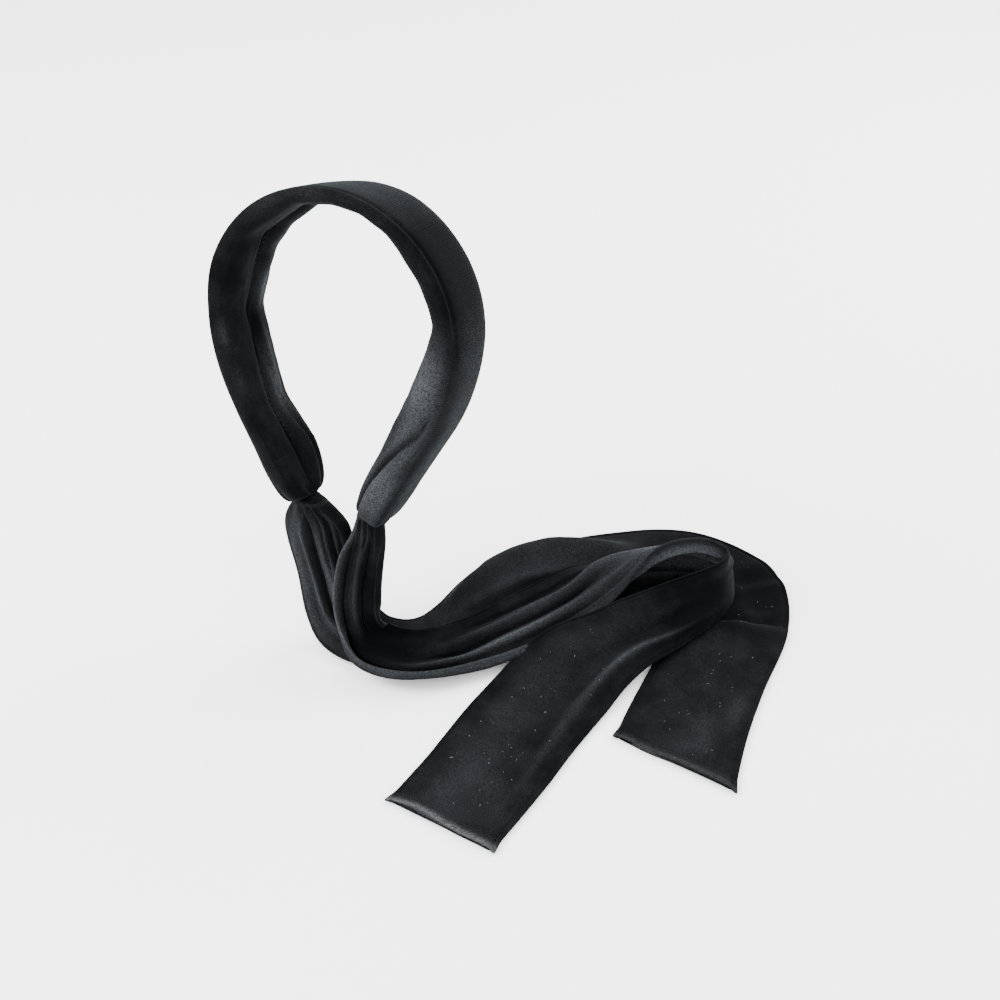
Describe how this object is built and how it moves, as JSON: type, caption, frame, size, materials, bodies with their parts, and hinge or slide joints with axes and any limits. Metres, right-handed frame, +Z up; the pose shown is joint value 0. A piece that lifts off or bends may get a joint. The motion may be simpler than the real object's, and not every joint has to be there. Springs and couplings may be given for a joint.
{
  "type": "velvet scarf headband",
  "caption": "Padded velvet hoop headband with a long flat velvet tail gathered on to each end, to be tied at the nape or left to hang.",
  "frame": {"origin": "on the table, under the middle of the headband's overall box", "axes": "+X along the run of the tails and across the hoop, +Y to the back, +Z up from the table"},
  "size_m": [0.2872, 0.2496, 0.2503],
  "materials": {
    "velvet_cover": "black stretch velvet, soft sheen at grazing angles",
    "velvet_tail": "black stretch velvet, soft sheen at grazing angles",
    "thread": "black polyester sewing thread",
    "foam": "dark open-cell foam padding",
    "strip": "black moulded springy plastic"
  },
  "bodies": {
    "left_tail": {"left_tail": "velvet_tail", "left_tail_seam": "thread", "left_tail_end_thread": "thread", "left_neck_binding": "thread"},
    "band": {"velvet_cover": "velvet_cover", "foam_pad": "foam", "springy_strip": "strip", "cover_seam_thread": "thread"},
    "right_tail": {"right_tail": "velvet_tail", "right_tail_seam": "thread", "right_tail_end_thread": "thread", "right_neck_binding": "thread"}
  },
  "joints": [
    {"name": "left_neck_hinge", "type": "hinge", "parent": "left_tail", "child": "band", "pos_m": [-0.09465, -0.01909, 0.085], "axis": [1, 0, 0], "range_deg": [-70, 70]},
    {"name": "right_neck_hinge", "type": "hinge", "parent": "band", "child": "right_tail", "pos_m": [-0.05965, -0.01909, 0.085], "axis": [1, 0, 0], "range_deg": [-70, 70]}
  ],
  "couplings": [
    {"joint": "right_neck_hinge", "follows": "left_neck_hinge", "ratio": -1}
  ]
}
